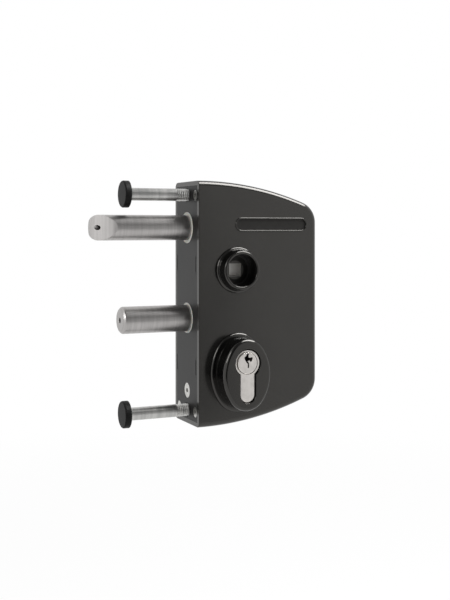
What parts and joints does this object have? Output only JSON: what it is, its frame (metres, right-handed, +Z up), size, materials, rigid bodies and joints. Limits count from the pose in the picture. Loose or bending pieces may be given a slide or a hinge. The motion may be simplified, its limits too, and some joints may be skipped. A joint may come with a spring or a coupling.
{
  "type": "gate lock box",
  "caption": "Surface-mounted gate lock box for a square post: arched black case, bevelled latch bolt, round deadbolt, lever-handle hub and oval-rosette key cylinder.",
  "frame": {"origin": "middle of the flat face that lies on the post", "axes": "+X from the post into the lock case, -Y to the front with the name field, +Z up along the post"},
  "size_m": [0.1478, 0.0716, 0.1552],
  "materials": {
    "black_coating": "semi-gloss black powder coat",
    "zinc_steel": "zinc-plated steel",
    "stainless": "fine-turned stainless steel",
    "black_cap": "satin black plastic",
    "pale_nylon": "natural nylon",
    "spring_steel": "drawn spring wire",
    "hub_metal": "blackened sintered steel",
    "dark_steel": "dark phosphated steel",
    "nickel_brass": "satin nickel plate",
    "black_gloss": "glossy black plastic"
  },
  "bodies": {
    "lock": {"lock_case": "black_coating", "mounting_plate": "black_coating", "plate_screws": "zinc_steel", "front_side_plate": "dark_steel", "rear_side_plate": "dark_steel", "plate_spacers": "zinc_steel", "fixing_blocks": "zinc_steel", "fixing_bolts": "zinc_steel", "fixing_bolt_caps": "black_cap", "latch_bush": "pale_nylon", "deadbolt_bush": "pale_nylon", "latch_spring": "spring_steel", "latch_guide_rod": "zinc_steel", "spring_anchor": "zinc_steel", "hub_spring": "spring_steel", "detent_spring": "spring_steel", "cylinder_body": "nickel_brass", "cylinder_screw": "zinc_steel", "front_rosette": "black_gloss", "rear_rosette": "black_gloss", "front_handle_socket": "black_gloss", "rear_handle_socket": "black_gloss"},
    "hub": {"hub_follower": "hub_metal"},
    "latch": {"latch_bolt": "stainless", "latch_stud": "zinc_steel", "latch_carriage": "zinc_steel"},
    "front_plug": {"front_key_plug": "nickel_brass"},
    "cam": {"cylinder_cam": "zinc_steel", "cam_clutch": "zinc_steel"},
    "rear_plug": {"rear_key_plug": "nickel_brass"},
    "deadbolt": {"deadbolt": "stainless", "deadbolt_stud": "zinc_steel", "deadbolt_carriage": "zinc_steel"}
  },
  "joints": [
    {"name": "handle_turn", "type": "hinge", "parent": "lock", "child": "hub", "pos_m": [0.0265, 0, 0.021], "axis": [0, 1, 0], "range_deg": [0, 40], "stiffness_Nm_per_rad": 0.6, "springref_deg": -20.05, "deforming": ["hub_spring"]},
    {"name": "latch_slide", "type": "slide", "parent": "lock", "child": "latch", "axis": [1, 0, 0], "range_m": [0, 0.0198], "stiffness_N_per_m": 400, "springref_m": -0.008, "deforming": ["latch_spring"]},
    {"name": "front_key_turn", "type": "hinge", "parent": "lock", "child": "front_plug", "pos_m": [0.0265, -0.02, -0.0365], "axis": [0, -1, 0], "range_deg": [0, 360]},
    {"name": "cam_turn", "type": "hinge", "parent": "lock", "child": "cam", "pos_m": [0.0265, 0, -0.0365], "axis": [0, -1, 0], "range_deg": [0, 360]},
    {"name": "rear_key_turn", "type": "hinge", "parent": "lock", "child": "rear_plug", "pos_m": [0.0265, 0.02, -0.0365], "axis": [0, -1, 0], "range_deg": [0, 360]},
    {"name": "deadbolt_slide", "type": "slide", "parent": "lock", "child": "deadbolt", "axis": [-1, 0, 0], "range_m": [0, 0.02], "deforming": ["detent_spring"]}
  ],
  "couplings": [
    {"joint": "handle_turn", "follows": "latch_slide", "rad_per_m": 35.25},
    {"joint": "front_key_turn", "follows": "deadbolt_slide", "rad_per_m": 314.15},
    {"joint": "cam_turn", "follows": "deadbolt_slide", "rad_per_m": 314.15}
  ]
}
